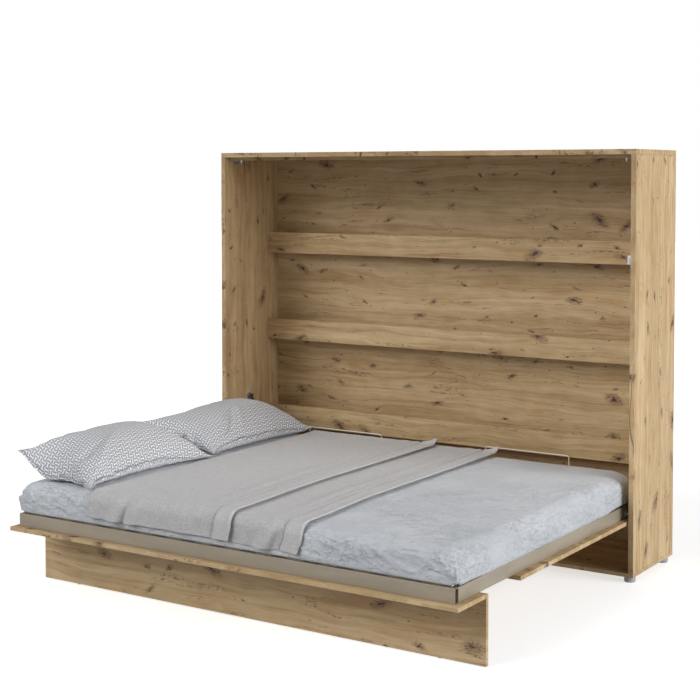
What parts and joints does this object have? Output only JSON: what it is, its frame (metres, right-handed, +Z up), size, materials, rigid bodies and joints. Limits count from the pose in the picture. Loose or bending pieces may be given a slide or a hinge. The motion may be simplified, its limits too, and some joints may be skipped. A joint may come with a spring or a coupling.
{
  "type": "murphy wall bed",
  "caption": "Sideways-folding wall bed in a low oak cabinet, lying open on its leg panel, with a made-up double mattress, linen cloths and pillows.",
  "frame": {"origin": "floor level, under the centre of the bounding box of the open bed and its cabinet", "axes": "+X to the right along the cabinet, as seen from the open bed's long front edge; +Y towards the wall; +Z up"},
  "size_m": [2.13, 1.886, 1.789],
  "materials": {
    "oak": "knotty oak decor on board, matt",
    "frame_paint": "champagne powder coat, satin",
    "zinc": "zinc-plated fittings",
    "dark_steel": "black painted strut tube",
    "cream_wire": "cream powder-coated wire",
    "grey_plastic": "grey moulded plastic",
    "rubber": "black rubber",
    "birch": "bent birch slats on white tape",
    "sheet": "pale blue-grey cotton sheet over a foam mattress",
    "linen": "grey woven linen",
    "pillowcase": "grey and white interlocking weave print"
  },
  "bodies": {
    "cabinet": {"side_panel_left": "oak", "side_panel_right": "oak", "top_panel": "oak", "bottom_panel": "oak", "back_board_1": "oak", "back_board_2": "oak", "back_board_3": "oak", "back_board_4": "oak", "rear_rail_lower": "oak", "rear_rail_middle": "oak", "rear_rail_upper": "oak", "floor_rail": "oak", "stop_strip": "oak", "foot_front_left": "grey_plastic", "foot_front_middle": "grey_plastic", "foot_front_right": "grey_plastic", "foot_back_left": "grey_plastic", "foot_back_right": "grey_plastic", "bumper_left": "rubber", "bumper_right": "rubber", "catch_bracket_left": "zinc", "catch_bracket_right": "zinc", "leg_catch_plate": "zinc", "pivot_bracket_left": "zinc", "pivot_bracket_right": "zinc", "strut_bracket_left": "zinc", "strut_bracket_right": "zinc"},
    "bed": {"front_board": "oak", "rear_board": "oak", "frame_rail_front": "frame_paint", "frame_rail_back": "frame_paint", "frame_side_left": "frame_paint", "frame_side_right": "frame_paint", "frame_beam": "frame_paint", "slat_mat_left": "birch", "slat_mat_right": "birch", "mattress_hoop_left": "cream_wire", "mattress_hoop_right": "cream_wire", "pivot_bush_left": "grey_plastic", "pivot_bush_right": "grey_plastic", "strut_stud_left": "zinc", "strut_stud_right": "zinc", "leg_arm_left": "zinc", "leg_arm_right": "zinc", "mattress": "sheet", "cloth_lower": "linen", "cloth_upper": "linen", "pillow_front": "pillowcase", "pillow_back": "pillowcase"},
    "leg": {"leg_panel": "oak", "leg_pin_left": "zinc", "leg_pin_right": "zinc", "leg_glide_left": "grey_plastic", "leg_glide_right": "grey_plastic"},
    "strut_tube_left": {"strut_cylinder_left": "dark_steel"},
    "strut_tube_right": {"strut_cylinder_right": "dark_steel"},
    "strut_piston_left": {"strut_rod_left": "zinc"},
    "strut_piston_right": {"strut_rod_right": "zinc"},
    "catch_bolt_left": {"catch_plunger_left": "zinc"},
    "catch_bolt_right": {"catch_plunger_right": "zinc"}
  },
  "joints": [
    {"name": "bed_fold", "type": "hinge", "parent": "cabinet", "child": "bed", "pos_m": [0, 0.545, 0.276], "axis": [-1, 0, 0], "range_deg": [0, 90], "deforming": ["pillow_front", "pillow_back"]},
    {"name": "leg_fold", "type": "hinge", "parent": "bed", "child": "leg", "pos_m": [0, -0.7375, 0.247], "axis": [1, 0, 0], "range_deg": [0, 90]},
    {"name": "strut_swing_left", "type": "hinge", "parent": "cabinet", "child": "strut_tube_left", "pos_m": [-1.026, 0.685, 0.585], "axis": [-1, 0, 0], "range_deg": [0, 16.86]},
    {"name": "strut_swing_right", "type": "hinge", "parent": "cabinet", "child": "strut_tube_right", "pos_m": [1.026, 0.685, 0.585], "axis": [-1, 0, 0], "range_deg": [0, 16.86]},
    {"name": "strut_extend_left", "type": "slide", "parent": "strut_tube_left", "child": "strut_piston_left", "axis": [0, 0, -1], "range_m": [0, 0.1642]},
    {"name": "strut_extend_right", "type": "slide", "parent": "strut_tube_right", "child": "strut_piston_right", "axis": [0, 0, -1], "range_m": [0, 0.1642]},
    {"name": "catch_press_left", "type": "slide", "parent": "cabinet", "child": "catch_bolt_left", "axis": [0, 0, 1], "range_m": [0, 0.006], "stiffness_N_per_m": 400, "springref_m": -0.004},
    {"name": "catch_press_right", "type": "slide", "parent": "cabinet", "child": "catch_bolt_right", "axis": [0, 0, 1], "range_m": [0, 0.006], "stiffness_N_per_m": 400, "springref_m": -0.004}
  ],
  "couplings": [
    {"joint": "leg_fold", "follows": "bed_fold", "ratio": 1},
    {"joint": "strut_swing_left", "follows": "bed_fold", "ratio": 0.18724},
    {"joint": "strut_swing_right", "follows": "bed_fold", "ratio": 0.18724},
    {"joint": "strut_extend_left", "follows": "bed_fold", "m_per_rad": 0.1045},
    {"joint": "strut_extend_right", "follows": "bed_fold", "m_per_rad": 0.1045}
  ]
}
